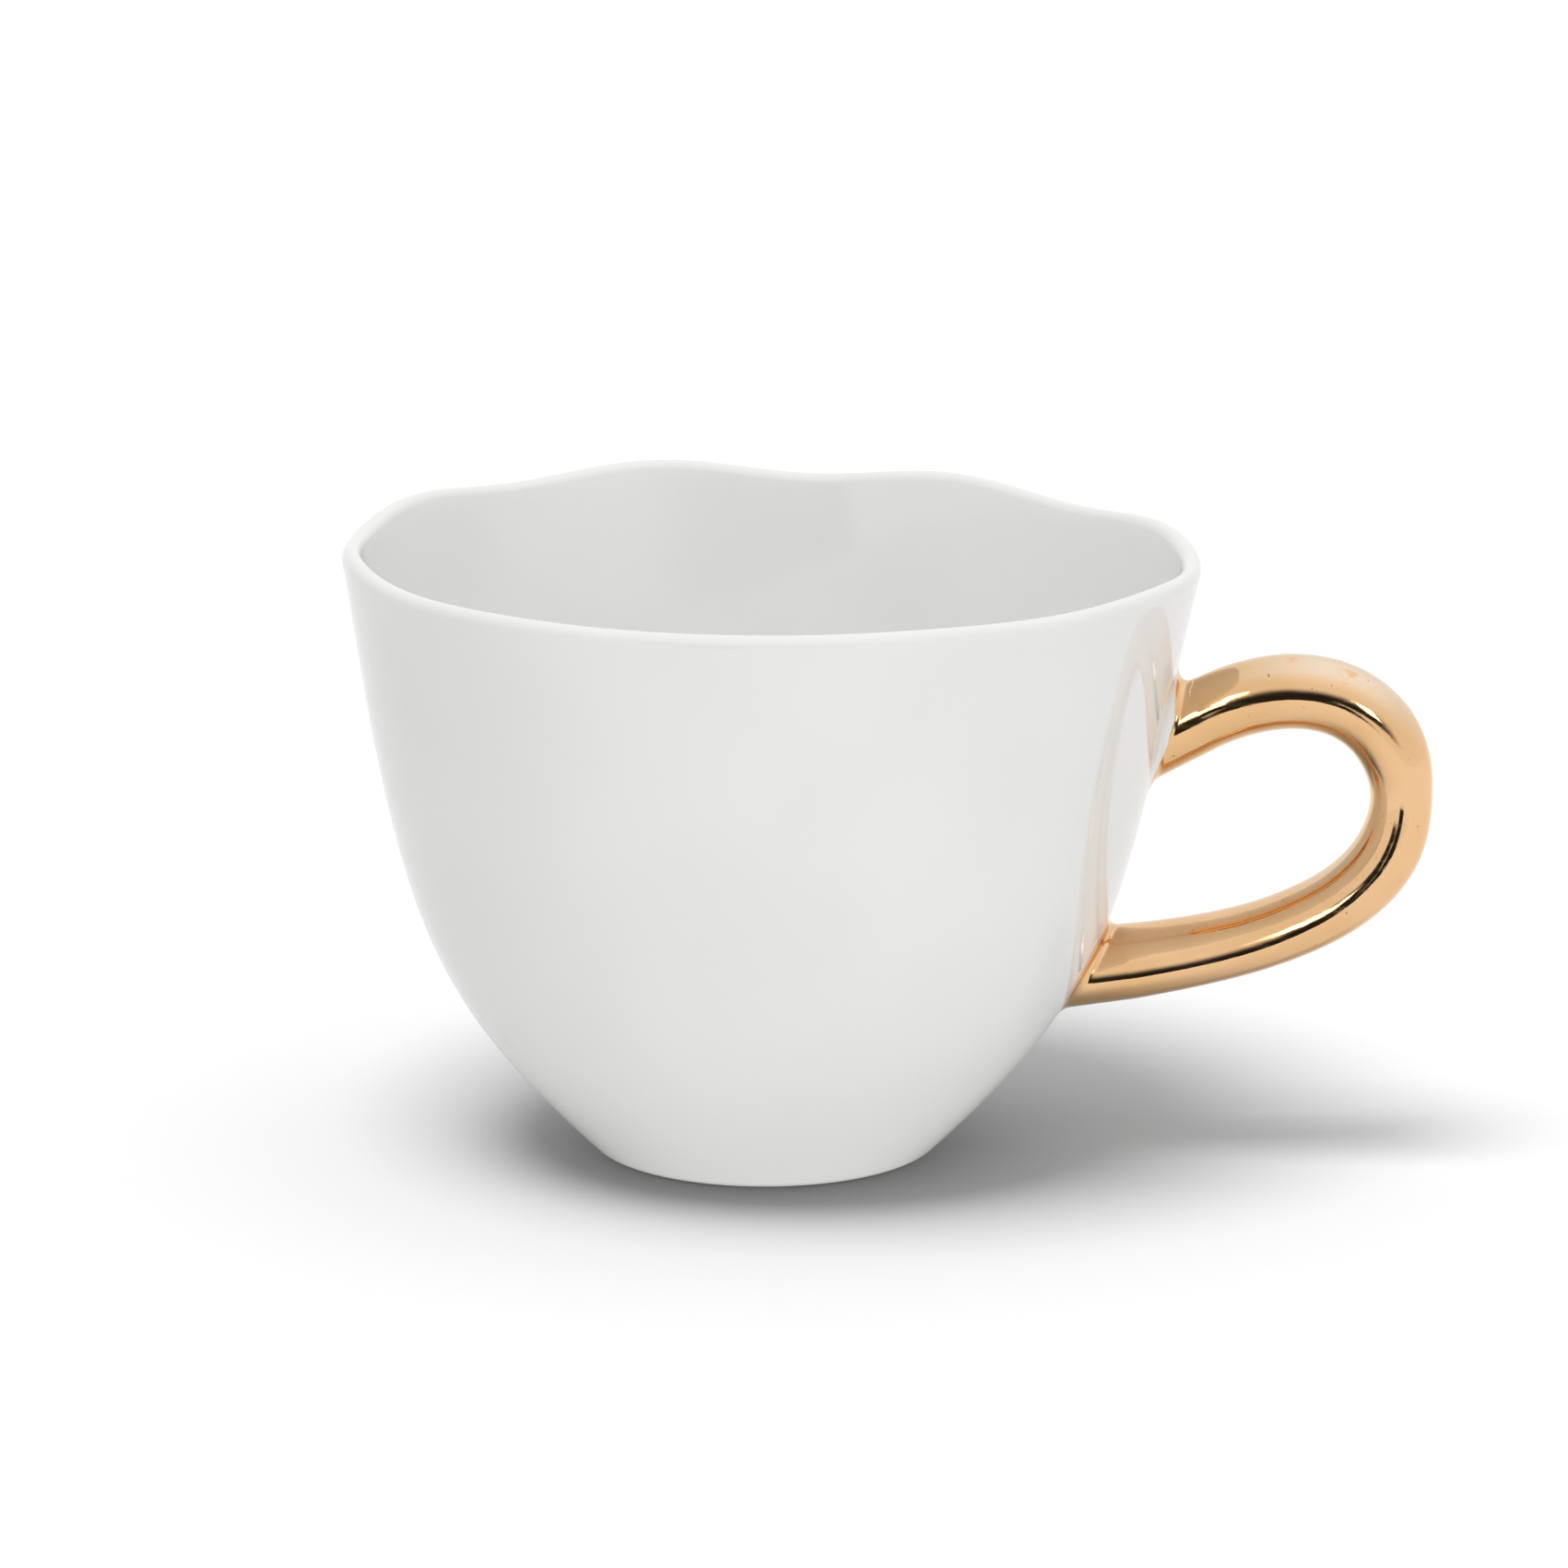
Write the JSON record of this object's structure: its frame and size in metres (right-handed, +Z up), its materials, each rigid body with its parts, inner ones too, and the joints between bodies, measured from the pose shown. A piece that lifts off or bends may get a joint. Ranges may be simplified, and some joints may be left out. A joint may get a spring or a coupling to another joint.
{
  "type": "teacup",
  "caption": "White glazed porcelain cup with a softly wavy rim, a small rounded foot and a round-rod loop handle coated in gold lustre.",
  "frame": {"origin": "centre of the flat ring that the cup stands on, at the table's height", "axes": "+Z up out of the mouth, +X from the cup's axis towards the handle, +Y completes a right-handed frame"},
  "size_m": [0.1411, 0.1092, 0.0815],
  "materials": {
    "porcelain_bowl": "gloss",
    "porcelain_core": "matte",
    "glazed_slip": "gloss",
    "gold_lustre": "polished"
  },
  "bodies": {
    "root": {"cup_bowl": "porcelain_bowl", "handle_core": "porcelain_core", "upper_luting_joint": "glazed_slip", "lower_luting_joint": "glazed_slip", "gold_lustre_coat": "gold_lustre"}
  },
  "joints": []
}
